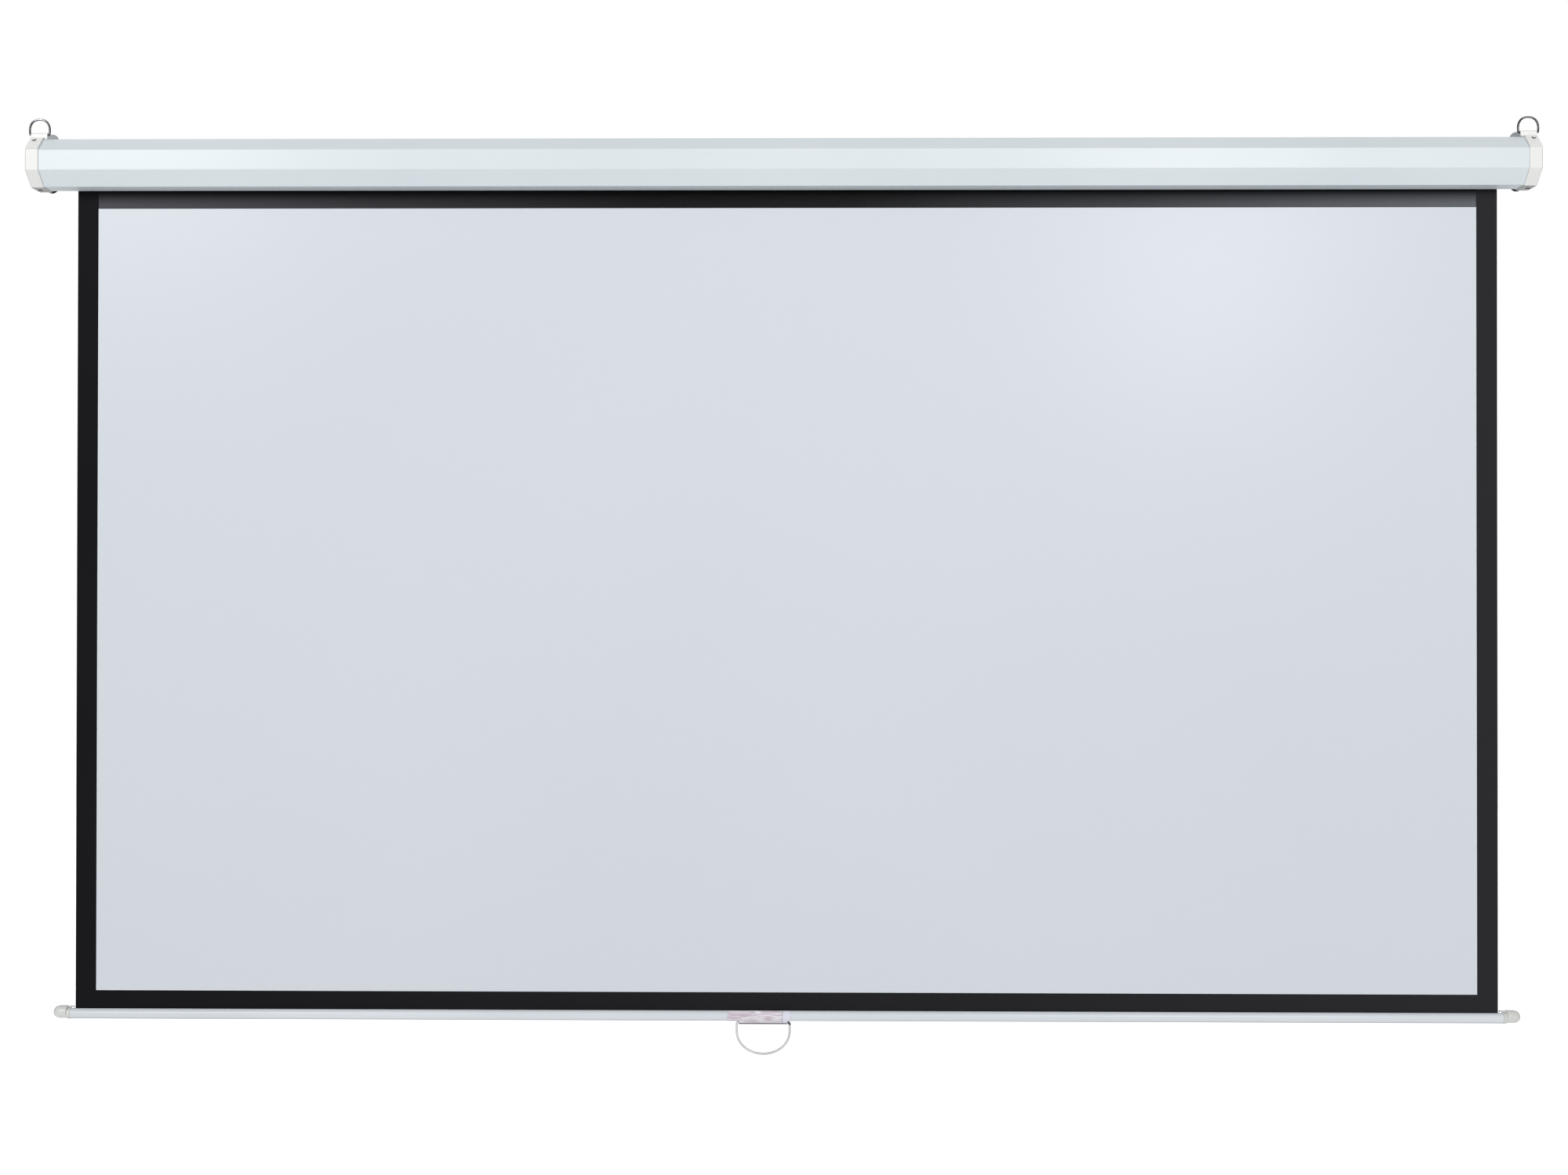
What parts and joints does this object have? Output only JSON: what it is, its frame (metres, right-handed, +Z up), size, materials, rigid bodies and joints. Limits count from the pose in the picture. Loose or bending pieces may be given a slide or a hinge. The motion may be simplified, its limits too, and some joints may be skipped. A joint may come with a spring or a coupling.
{
  "type": "pull down projector screen",
  "caption": "Octagonal sheet steel case with a spring roller inside, a wide black-bordered white cloth hanging from it, a weight bar with a wire pull handle, wall plates and hanging rings.",
  "frame": {"origin": "On the wall plane, in the middle of the case's length, level with the roller's axis.", "axes": "+X along the case to the viewer's right, +Y into the wall, +Z up; the viewer stands on the -Y side."},
  "size_m": [2.208, 0.0757, 1.3772],
  "materials": {
    "case_enamel": "satin",
    "cap_enamel": "satin",
    "plate_enamel": "satin",
    "bar_enamel": "satin",
    "handle_enamel": "satin",
    "polished_steel": "polished",
    "zinc_steel": "zinc plated",
    "spring_steel": "oiled",
    "tube_steel": "galvanized",
    "natural_nylon": "matte",
    "cap_plastic": "semi-gloss",
    "black_cloth": "matte coated cloth",
    "white_cloth": "matte coated cloth"
  },
  "bodies": {
    "case": {"case_shell": "case_enamel", "end_cap_left": "cap_enamel", "end_cap_right": "cap_enamel", "hanger_left": "cap_enamel", "hanger_right": "cap_enamel", "wall_plate_left": "plate_enamel", "wall_plate_right": "plate_enamel", "hanger_screw_left": "zinc_steel", "hanger_screw_right": "zinc_steel", "bottom_screw_left": "zinc_steel", "bottom_screw_right": "zinc_steel", "wall_plate_screw_upper_left": "zinc_steel", "wall_plate_screw_upper_right": "zinc_steel", "wall_plate_screw_lower_left": "zinc_steel", "wall_plate_screw_lower_right": "zinc_steel", "carrier_left": "zinc_steel", "carrier_right": "zinc_steel", "arbor": "zinc_steel", "arbor_collar": "zinc_steel", "ratchet_disc": "spring_steel", "torsion_spring": "spring_steel", "idle_bush": "natural_nylon", "screen_backing": "black_cloth", "screen_face": "white_cloth"},
    "bar": {"weight_bar": "bar_enamel", "bar_cap_left": "cap_plastic", "bar_cap_right": "cap_plastic", "hem_rod": "natural_nylon", "cloth_hem": "black_cloth", "handle_saddle": "bar_enamel"},
    "handle": {"pull_handle": "handle_enamel"},
    "roller": {"roller_tube": "tube_steel", "spring_plug": "natural_nylon", "arbor_steady": "natural_nylon", "idle_plug": "natural_nylon", "idle_pin": "zinc_steel", "cloth_wraps": "black_cloth", "pawl_pin_upper": "zinc_steel", "pawl_pin_lower": "zinc_steel"},
    "upper_pawl": {"pawl_upper": "spring_steel"},
    "lower_pawl": {"pawl_lower": "spring_steel"},
    "left_ring": {"ring_left": "polished_steel"},
    "right_ring": {"ring_right": "polished_steel"}
  },
  "joints": [
    {"name": "pull", "type": "slide", "parent": "case", "child": "bar", "axis": [0, 0, 1], "range_m": [0, 1.2047], "deforming": ["screen_backing", "screen_face"]},
    {"name": "roller_turn", "type": "hinge", "parent": "case", "child": "roller", "pos_m": [0, -0.039, 0], "axis": [1, 0, 0], "range_deg": [0, 3600]},
    {"name": "handle_swing", "type": "hinge", "parent": "bar", "child": "handle", "pos_m": [-0.0249, -0.02085, -1.26335], "axis": [1, 0, 0], "range_deg": [-85, 85]},
    {"name": "upper_pawl_swing", "type": "hinge", "parent": "roller", "child": "upper_pawl", "pos_m": [-1.0885, -0.032, 0.00912], "axis": [-1, 0, 0], "range_deg": [-16, 34]},
    {"name": "lower_pawl_swing", "type": "hinge", "parent": "roller", "child": "lower_pawl", "pos_m": [-1.0885, -0.046, -0.00912], "axis": [1, 0, 0], "range_deg": [0, 34]},
    {"name": "left_ring_swing", "type": "hinge", "parent": "case", "child": "left_ring", "pos_m": [-1.0878, -0.0529, 0.0414], "axis": [1, 0, 0], "range_deg": [-95, 125]},
    {"name": "right_ring_swing", "type": "hinge", "parent": "case", "child": "right_ring", "pos_m": [1.0878, -0.0529, 0.0414], "axis": [1, 0, 0], "range_deg": [-95, 125]}
  ],
  "couplings": [
    {"joint": "roller_turn", "follows": "pull", "rad_per_m": 52.156}
  ]
}
